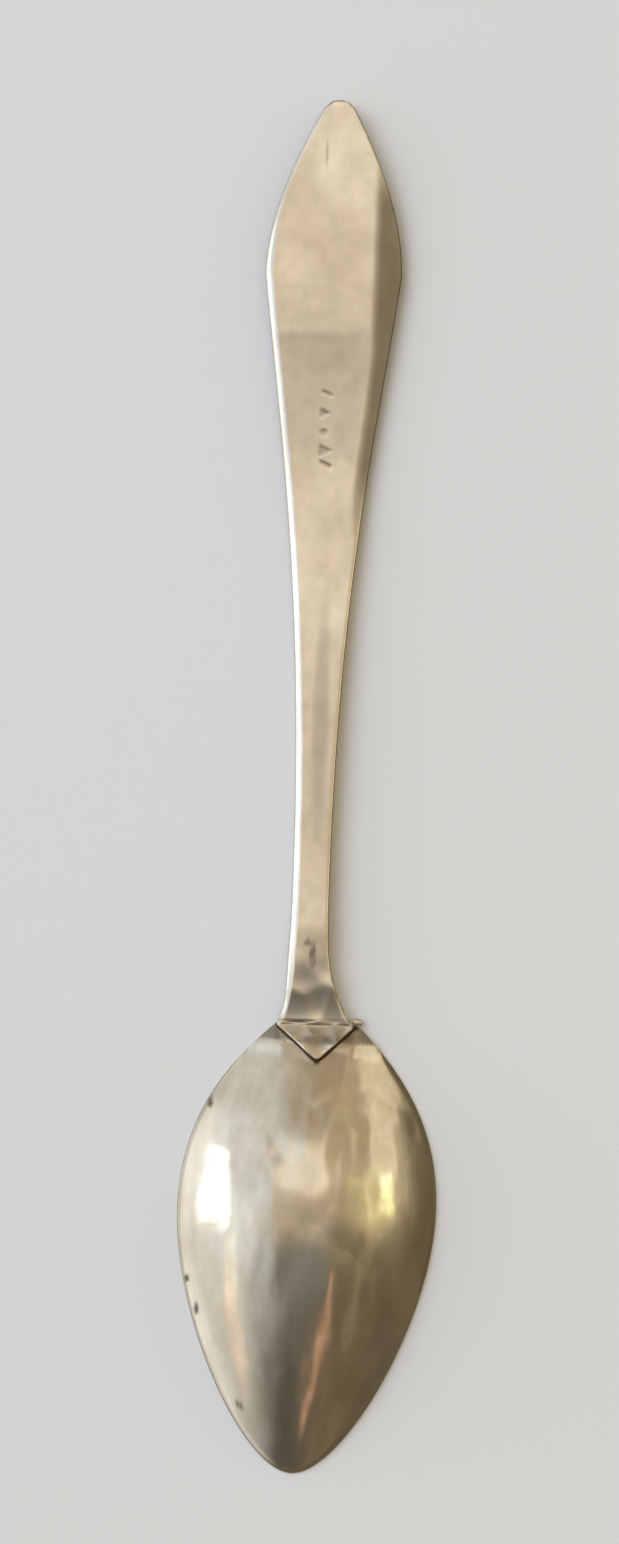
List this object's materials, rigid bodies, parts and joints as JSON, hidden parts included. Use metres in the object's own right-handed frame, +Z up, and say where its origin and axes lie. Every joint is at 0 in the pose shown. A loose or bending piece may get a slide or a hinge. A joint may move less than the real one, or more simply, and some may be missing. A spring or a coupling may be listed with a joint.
{
  "type": "teaspoon",
  "caption": "Small hand-made silver spoon: pointed oval bowl, slim stem and leaf-shaped handle end, joined by an arrow-ended lap soldered to the back of the bowl.",
  "frame": {"origin": "under the middle of the spoon's bounding box, on the surface that it rests on face down", "axes": "+Y from the bowl's tip to the handle's end, +Z up out of the back of the spoon, +X to the right with the back seen from above and the handle away"},
  "size_m": [0.0264, 0.1398, 0.0075],
  "materials": {
    "bowl_silver": "gloss",
    "handle_silver": "satin",
    "oxidised_solder": "matte"
  },
  "bodies": {
    "root": {"bowl": "bowl_silver", "handle": "handle_silver", "solder_seam": "oxidised_solder"}
  },
  "joints": []
}
